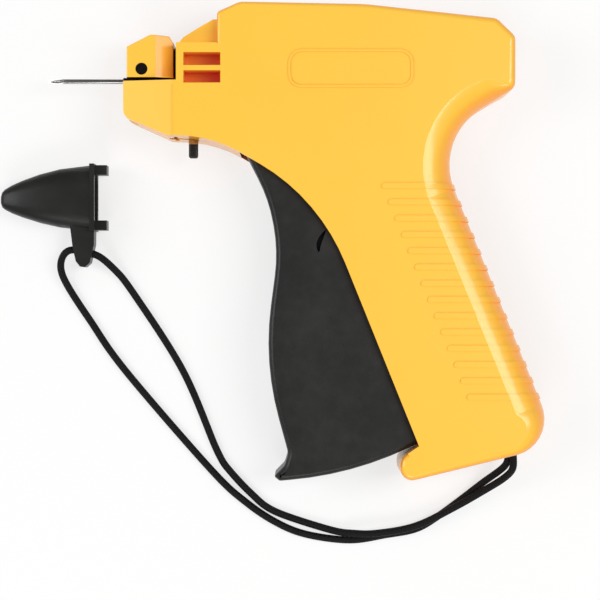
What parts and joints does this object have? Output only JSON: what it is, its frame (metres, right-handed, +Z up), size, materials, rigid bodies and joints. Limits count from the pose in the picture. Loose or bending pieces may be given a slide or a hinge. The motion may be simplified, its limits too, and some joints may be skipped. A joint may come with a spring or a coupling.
{
  "type": "garment tag attacher",
  "caption": "Hand-held garment tag attacher with a squeeze trigger, hollow needle, nose block and a needle cap on an elastic cord, lying on its side.",
  "frame": {"origin": "middle of the tool's footprint, without its cap and cord, on the surface that it lies on", "axes": "+Z up through the tool's thickness, -X along the needle towards its tip, +Y from the foot of the grip to the top of the body"},
  "size_m": [0.178, 0.1769, 0.0268],
  "materials": {
    "body_plastic": "smooth satin moulded plastic",
    "black_plastic": "fine satin",
    "grey_plastic": "satin",
    "white_plastic": "satin",
    "black_steel": "blackened",
    "needle_steel": "ground",
    "pin_steel": "turned",
    "spring_steel": "drawn wire and strip",
    "black_rubber": "matt",
    "black_cord": "braided elastic"
  },
  "bodies": {
    "body": {"lower_shell": "body_plastic", "upper_shell": "body_plastic", "nose_block": "body_plastic", "nose_screw": "black_steel", "needle": "needle_steel", "needle_base": "black_plastic", "trigger_pivot_pin": "pin_steel", "lever_pivot_pin": "pin_steel", "slider_bumper": "black_rubber", "return_spring": "spring_steel", "feed_wheel_shaft": "pin_steel", "pawl_pin": "pin_steel", "anti_reverse_spring": "spring_steel", "cutter_blade": "needle_steel", "clip_guide_spring": "black_steel", "shell_screws": "pin_steel", "needle_cap": "black_plastic", "lanyard_cord": "black_cord", "cord_knot": "black_cord"},
    "trigger": {"trigger": "black_plastic", "drive_pin": "pin_steel"},
    "drive_lever": {"drive_lever": "grey_plastic"},
    "slider": {"slider": "white_plastic", "slider_pin": "pin_steel", "ejector_rod": "pin_steel"},
    "feed_wheel": {"feed_wheel": "white_plastic"},
    "feed_pawl": {"feed_pawl": "white_plastic"},
    "needle_lock": {"needle_lock": "black_plastic"}
  },
  "joints": [
    {"name": "trigger_squeeze", "type": "hinge", "parent": "body", "child": "trigger", "pos_m": [-0.0108, 0.0339, 0.0134], "axis": [0, 0, 1], "range_deg": [0, 14], "stiffness_Nm_per_rad": 2, "springref_deg": -20.05, "deforming": ["return_spring"]},
    {"name": "drive_lever_swing", "type": "hinge", "parent": "body", "child": "drive_lever", "pos_m": [0.02105, 0.00698, 0.0134], "axis": [0, 0, 1], "range_deg": [0, 47.85]},
    {"name": "slider_stroke", "type": "slide", "parent": "body", "child": "slider", "axis": [-1, 0, 0], "range_m": [0, 0.0411]},
    {"name": "feed_wheel_turn", "type": "hinge", "parent": "body", "child": "feed_wheel", "pos_m": [-0.0329, 0.0442, 0.0134], "axis": [0, 0, 1], "range_deg": [0, 30.01], "deforming": ["anti_reverse_spring"]},
    {"name": "feed_pawl_swing", "type": "hinge", "parent": "body", "child": "feed_pawl", "pos_m": [-0.01868, 0.03944, 0.0134], "axis": [0, 0, -1], "range_deg": [0, 10.63]},
    {"name": "needle_lock_slide", "type": "slide", "parent": "body", "child": "needle_lock", "axis": [-1, 0, 0], "range_m": [0, 0.006]}
  ],
  "couplings": [
    {"joint": "drive_lever_swing", "follows": "trigger_squeeze", "ratio": 3.4173},
    {"joint": "slider_stroke", "follows": "trigger_squeeze", "m_per_rad": 0.1678},
    {"joint": "feed_wheel_turn", "follows": "trigger_squeeze", "ratio": 2.1429},
    {"joint": "feed_pawl_swing", "follows": "trigger_squeeze", "ratio": 0.7587}
  ]
}
